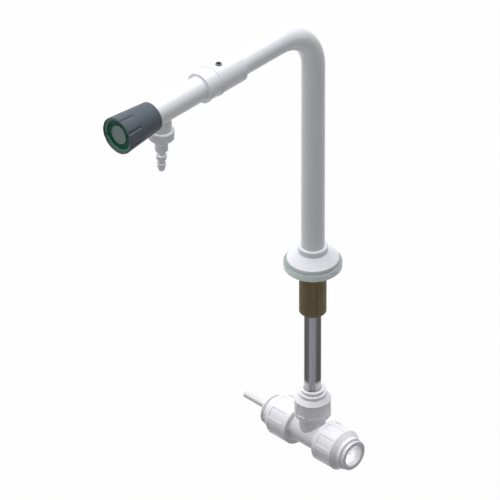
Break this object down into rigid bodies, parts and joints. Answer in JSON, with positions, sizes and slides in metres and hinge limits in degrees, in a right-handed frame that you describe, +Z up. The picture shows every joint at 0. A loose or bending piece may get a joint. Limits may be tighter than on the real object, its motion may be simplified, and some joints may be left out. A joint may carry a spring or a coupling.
{
  "type": "water tap",
  "caption": "Bench-mounted laboratory water tap with a bent column, knob valve, hose nozzle, bench flange, shank, tail pipe and push-fit tee.",
  "frame": {"origin": "on the column's axis, in the plane of the gasket's underside, where the tap stands on the bench", "axes": "+Z up along the column, -Y along the arm towards the knob, +X along the tee's run towards its open port"},
  "size_m": [0.1399, 0.2808, 0.4981],
  "materials": {
    "coated_tube": "white coated tube, satin",
    "coated_fitting": "white coated brass, satin",
    "dark_steel": "blackened steel",
    "spring_steel": "bright spring steel",
    "seal_rubber": "black rubber",
    "brass": "machined brass",
    "dull_brass": "dull, darkened brass with a fine thread",
    "fibre_washer": "red fibre",
    "knob_plastic": "blue-grey moulded plastic, satin",
    "green_plastic": "dark green moulded plastic",
    "grey_plastic": "grey moulded plastic",
    "gasket_rubber": "grey-green rubber",
    "chrome_pipe": "bright chrome",
    "white_plastic": "white moulded plastic",
    "small_tube_plastic": "pale grey tube"
  },
  "bodies": {
    "tap": {"column_tube": "coated_tube", "arm_sleeve": "coated_fitting", "set_screw": "dark_steel", "valve_body": "coated_fitting", "spigot_o_rings": "seal_rubber", "headwork_body": "brass", "headwork_washer": "fibre_washer", "base_flange": "coated_fitting", "bench_gasket": "gasket_rubber", "shank": "dull_brass", "column_o_rings": "seal_rubber", "tail_pipe": "chrome_pipe", "tail_o_rings": "seal_rubber", "tee_body": "white_plastic", "left_o_ring": "seal_rubber", "right_o_ring": "seal_rubber", "branch_o_ring": "seal_rubber", "left_spacer": "white_plastic", "right_spacer": "white_plastic", "branch_spacer": "white_plastic", "reducer_stem": "white_plastic", "reducer_o_ring": "seal_rubber", "reducer_cartridge": "white_plastic", "small_tube": "small_tube_plastic"},
    "knob": {"knob_shell": "knob_plastic", "knob_screw": "dark_steel", "colour_ring": "green_plastic", "centre_cap": "grey_plastic", "spindle": "brass", "spindle_o_rings": "seal_rubber", "spindle_clip": "spring_steel"},
    "plug": {"valve_plug": "brass", "seat_washer": "seal_rubber", "washer_screw": "brass"},
    "outlet": {"nozzle": "coated_fitting", "nozzle_washer": "seal_rubber"},
    "nut": {"nozzle_nut": "coated_fitting"},
    "left_cap": {"left_cap": "white_plastic"},
    "right_cap": {"right_cap": "white_plastic"},
    "branch_cap": {"branch_cap": "white_plastic"},
    "left_collet": {"left_collet": "white_plastic", "left_grab_ring": "spring_steel"},
    "right_collet": {"right_collet": "white_plastic", "right_grab_ring": "spring_steel"},
    "branch_collet": {"branch_collet": "white_plastic", "branch_grab_ring": "spring_steel"},
    "reducer_collet": {"reducer_collet": "white_plastic"}
  },
  "joints": [
    {"name": "knob_turn", "type": "hinge", "parent": "tap", "child": "knob", "pos_m": [0, -0.2315, 0.2714], "axis": [0, -1, 0], "range_deg": [0, 720]},
    {"name": "plug_lift", "type": "slide", "parent": "tap", "child": "plug", "axis": [0, -1, 0], "range_m": [0, 0.004]},
    {"name": "nozzle_drop", "type": "slide", "parent": "tap", "child": "outlet", "axis": [0, 0, -1], "range_m": [0, 0.0045]},
    {"name": "nut_turn", "type": "hinge", "parent": "outlet", "child": "nut", "pos_m": [0, -0.1966, 0.246], "axis": [0, 0, -1], "range_deg": [0, 1080]},
    {"name": "left_cap_turn", "type": "hinge", "parent": "tap", "child": "left_cap", "pos_m": [-0.033, 0, -0.1888], "axis": [-1, 0, 0], "range_deg": [0, 90]},
    {"name": "right_cap_turn", "type": "hinge", "parent": "tap", "child": "right_cap", "pos_m": [0.033, 0, -0.1888], "axis": [1, 0, 0], "range_deg": [0, 90]},
    {"name": "branch_cap_turn", "type": "hinge", "parent": "tap", "child": "branch_cap", "pos_m": [0, 0, -0.155], "axis": [0, 0, 1], "range_deg": [0, 90]},
    {"name": "left_collet_press", "type": "slide", "parent": "left_cap", "child": "left_collet", "axis": [1, 0, 0], "range_m": [0, 0.002]},
    {"name": "right_collet_press", "type": "slide", "parent": "right_cap", "child": "right_collet", "axis": [-1, 0, 0], "range_m": [0, 0.002]},
    {"name": "branch_collet_press", "type": "slide", "parent": "branch_cap", "child": "branch_collet", "axis": [0, 0, -1], "range_m": [0, 0.002]},
    {"name": "reducer_collet_press", "type": "slide", "parent": "tap", "child": "reducer_collet", "axis": [1, 0, 0], "range_m": [0, 0.001]}
  ],
  "couplings": [
    {"joint": "plug_lift", "follows": "knob_turn", "m_per_rad": 0.0003183},
    {"joint": "nut_turn", "follows": "nozzle_drop", "rad_per_m": 4188.8}
  ]
}
